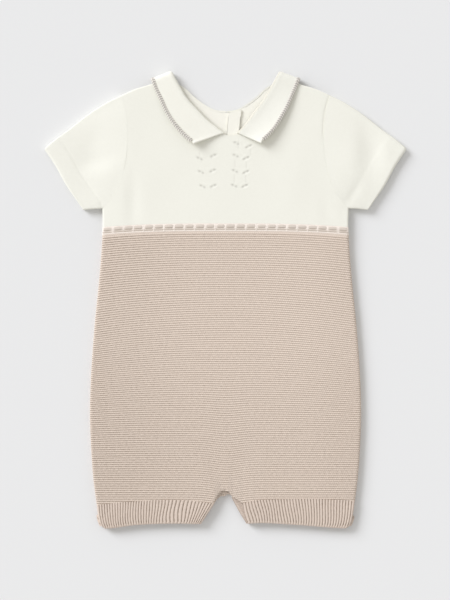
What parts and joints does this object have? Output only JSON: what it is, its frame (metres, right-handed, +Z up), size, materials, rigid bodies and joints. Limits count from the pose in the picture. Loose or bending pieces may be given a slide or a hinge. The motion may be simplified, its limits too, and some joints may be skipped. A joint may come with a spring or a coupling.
{
  "type": "baby romper",
  "caption": "Short-sleeved knitted baby romper laid flat, with a cream yoke and split collar, a beige garter-stitch shorts body, a dashed slip-stitch waist row and ribbed leg hems.",
  "frame": {"origin": "On the table under the middle of the garment as it lies", "axes": "+Z up from the table through the front, +Y towards the collar, +X to the right of the picture"},
  "size_m": [0.3448, 0.4344, 0.0157],
  "materials": {
    "cream_knit": "matt fine stocking-stitch knit",
    "collar_knit": "matt fine rib knit",
    "edging_yarn": "matt chain edging in a grey-beige yarn",
    "beige_garter_knit": "matt garter-stitch knit",
    "beige_rib_knit": "matt 1x1 rib knit",
    "button": "satin cream buttons"
  },
  "bodies": {
    "root": {"front_yoke": "cream_knit", "back_yoke_left": "cream_knit", "back_yoke_right": "cream_knit", "placket_outer": "cream_knit", "placket_inner": "cream_knit", "button_1": "button", "button_2": "button", "button_3": "button", "sleeve_left": "cream_knit", "sleeve_right": "cream_knit", "collar_left": "collar_knit", "collar_right": "collar_knit", "tipping_left": "edging_yarn", "tipping_right": "edging_yarn", "waist_front": "cream_knit", "waist_back": "cream_knit", "body_front": "beige_garter_knit", "body_back": "beige_garter_knit", "rib_left_front": "beige_rib_knit", "rib_left_back": "beige_rib_knit", "rib_right_front": "beige_rib_knit", "rib_right_back": "beige_rib_knit", "inseam_band": "beige_rib_knit"}
  },
  "joints": []
}
